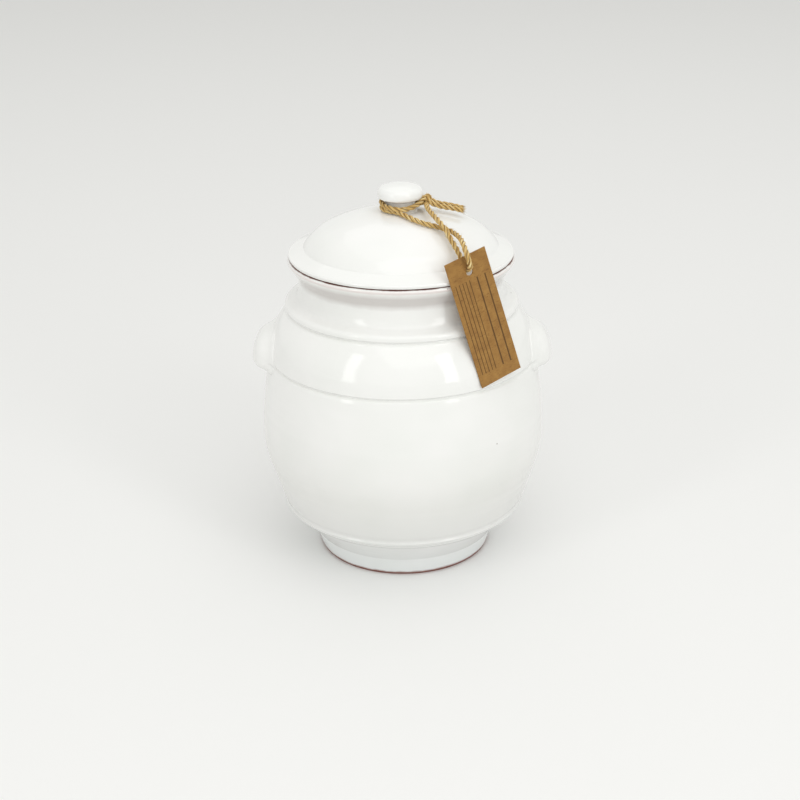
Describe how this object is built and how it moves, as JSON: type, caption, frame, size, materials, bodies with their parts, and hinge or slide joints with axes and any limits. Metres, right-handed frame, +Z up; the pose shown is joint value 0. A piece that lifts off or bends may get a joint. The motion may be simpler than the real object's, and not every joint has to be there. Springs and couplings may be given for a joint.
{
  "type": "ceramic canister",
  "caption": "White-glazed earthenware canister with a pot belly on a turned foot, small lug handles, a loose domed lid with a knob, and a kraft tag on jute twine.",
  "frame": {"origin": "on the resting surface, under the centre of the foot", "axes": "+Z up along the pot's turning axis, -Y to the front, +X to the right-hand lug handle"},
  "size_m": [0.189, 0.1794, 0.2402],
  "materials": {
    "glaze": "gloss",
    "twine": "matte",
    "card": "matte"
  },
  "bodies": {
    "jar": {"jar_body": "glaze", "left_lug_handle": "glaze", "right_lug_handle": "glaze"},
    "lid": {"lid": "glaze", "lid_knob": "glaze"},
    "tie": {"twine_collar": "twine", "twine_knot": "twine", "twine_front_leg": "twine", "twine_back_leg": "twine", "twine_front_end": "twine", "twine_back_end": "twine"},
    "tag": {"swing_tag": "card"}
  },
  "joints": [
    {"name": "lid_lift", "type": "slide", "parent": "jar", "child": "lid", "axis": [0, 0, 1], "range_m": [0, 0.1]},
    {"name": "tie_turn", "type": "hinge", "parent": "lid", "child": "tie", "pos_m": [0, 0, 0.2275], "axis": [0, 0, 1], "range_deg": [-80, 14]},
    {"name": "tag_swing", "type": "hinge", "parent": "tie", "child": "tag", "pos_m": [0.03932, -0.05722, 0.20281], "axis": [0.5512, -0.802, 0.2302], "range_deg": [-40, 12]}
  ]
}
